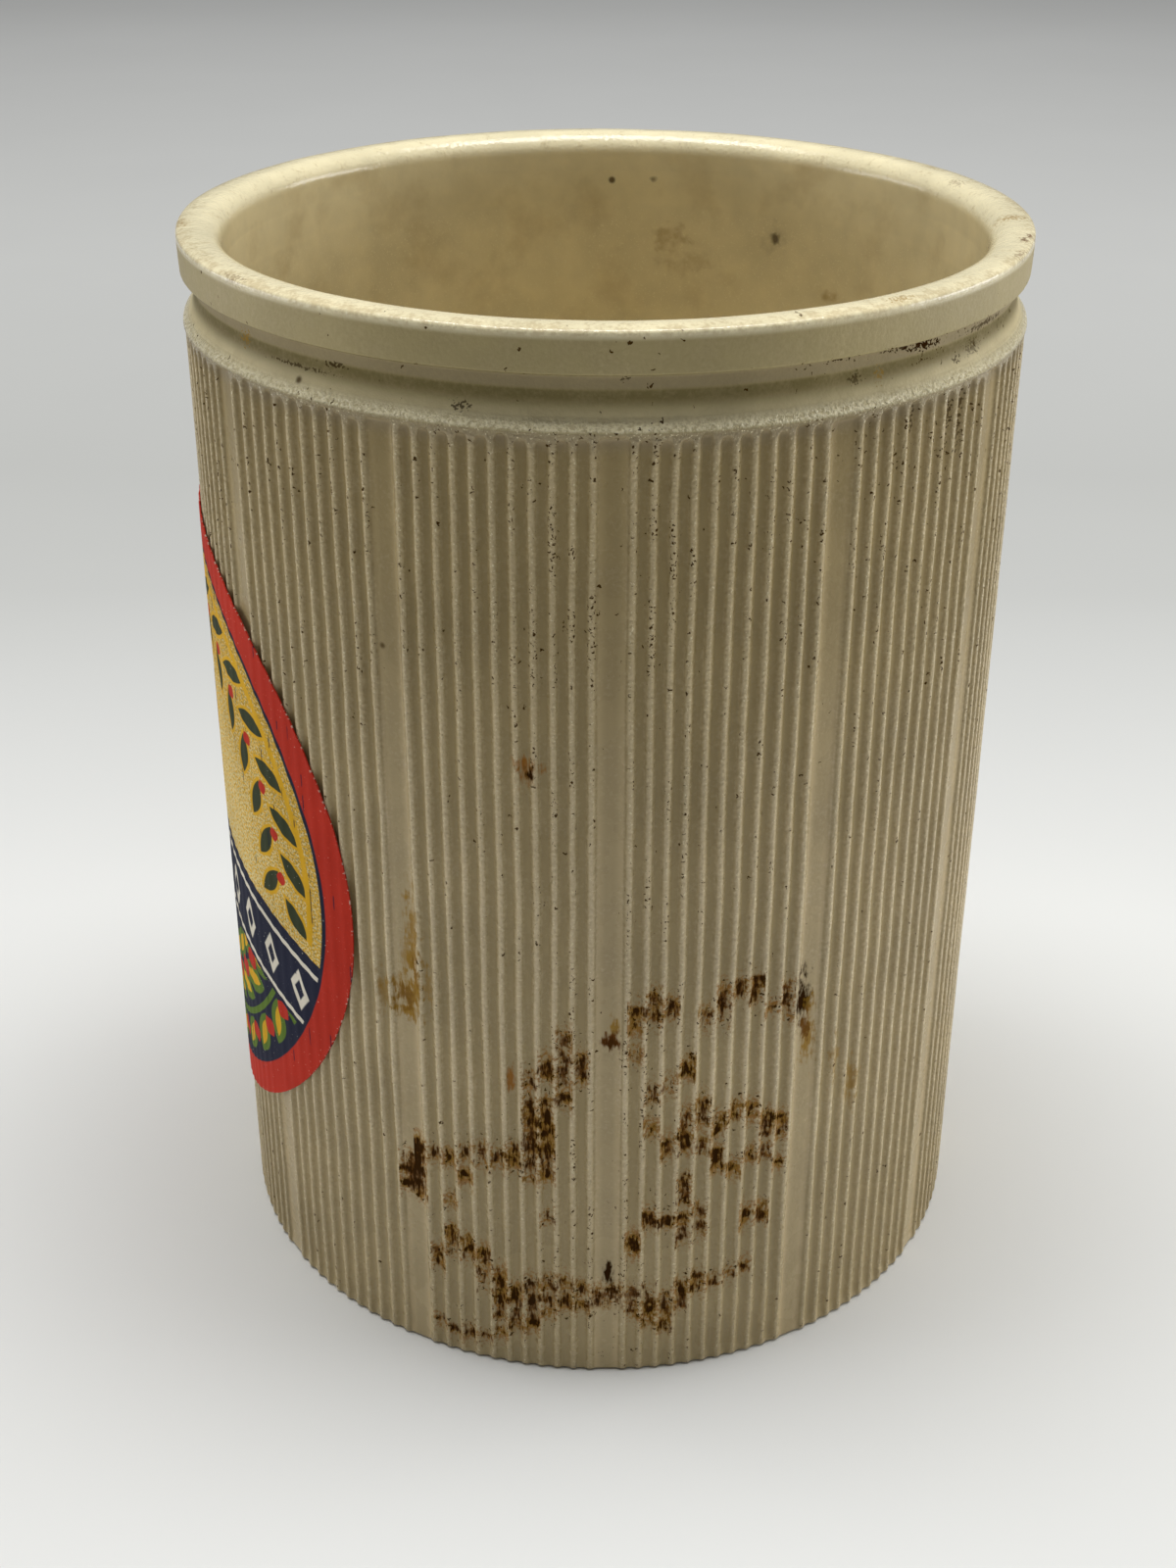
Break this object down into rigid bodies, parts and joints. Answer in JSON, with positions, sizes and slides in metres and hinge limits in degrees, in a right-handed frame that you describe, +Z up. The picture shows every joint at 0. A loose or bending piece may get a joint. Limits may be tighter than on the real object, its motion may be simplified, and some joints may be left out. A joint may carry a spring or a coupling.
{
  "type": "stoneware jam jar",
  "caption": "Straight ribbed stoneware jam jar with a rolled rim, a string groove under it, an open cylindrical bore and an oval paper label pasted on one side.",
  "frame": {"origin": "middle of the foot, on the surface that the jar stands on", "axes": "+Z up along the jar's axis to the open mouth, -Y the side that faces the viewer, -X the side with the label"},
  "size_m": [0.0785, 0.0782, 0.106],
  "materials": {
    "glazed_stoneware": "thin cream glaze over ribbed stoneware, satin outside and glossy on the rim",
    "printed_paper": "aged printed paper with a red border round a cream field"
  },
  "bodies": {
    "root": {"stoneware_jar": "glazed_stoneware", "paper_label": "printed_paper"}
  },
  "joints": []
}
